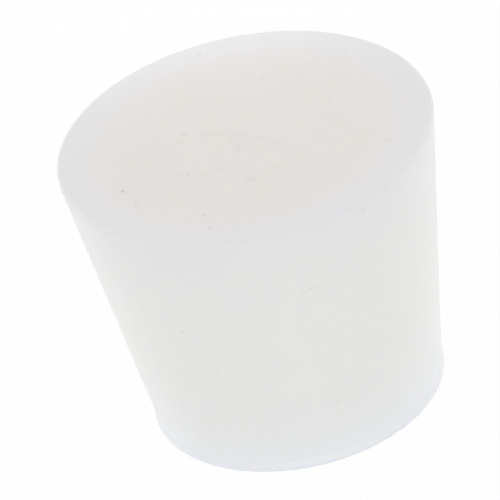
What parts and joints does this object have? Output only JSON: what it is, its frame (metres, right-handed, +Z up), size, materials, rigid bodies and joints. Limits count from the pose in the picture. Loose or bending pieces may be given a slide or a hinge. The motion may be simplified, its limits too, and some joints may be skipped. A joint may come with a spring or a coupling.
{
  "type": "rubber stopper",
  "caption": "Solid tapered stopper of milky silicone rubber, with a flat large end, a rounded rim and a slight lip at its small end, to plug and seal the round neck of a flask, bottle or tube.",
  "frame": {"origin": "centre of the small end's flat face, which the stopper stands on", "axes": "+Z up along the stopper's axis, from the small end to the large end; X and Y lie in the small end's face and are interchangeable, because the body is round"},
  "size_m": [0.032, 0.032, 0.0257],
  "materials": {
    "silicone": "satin, milky and slightly translucent moulded silicone rubber"
  },
  "bodies": {
    "root": {"stopper": "silicone"}
  },
  "joints": []
}
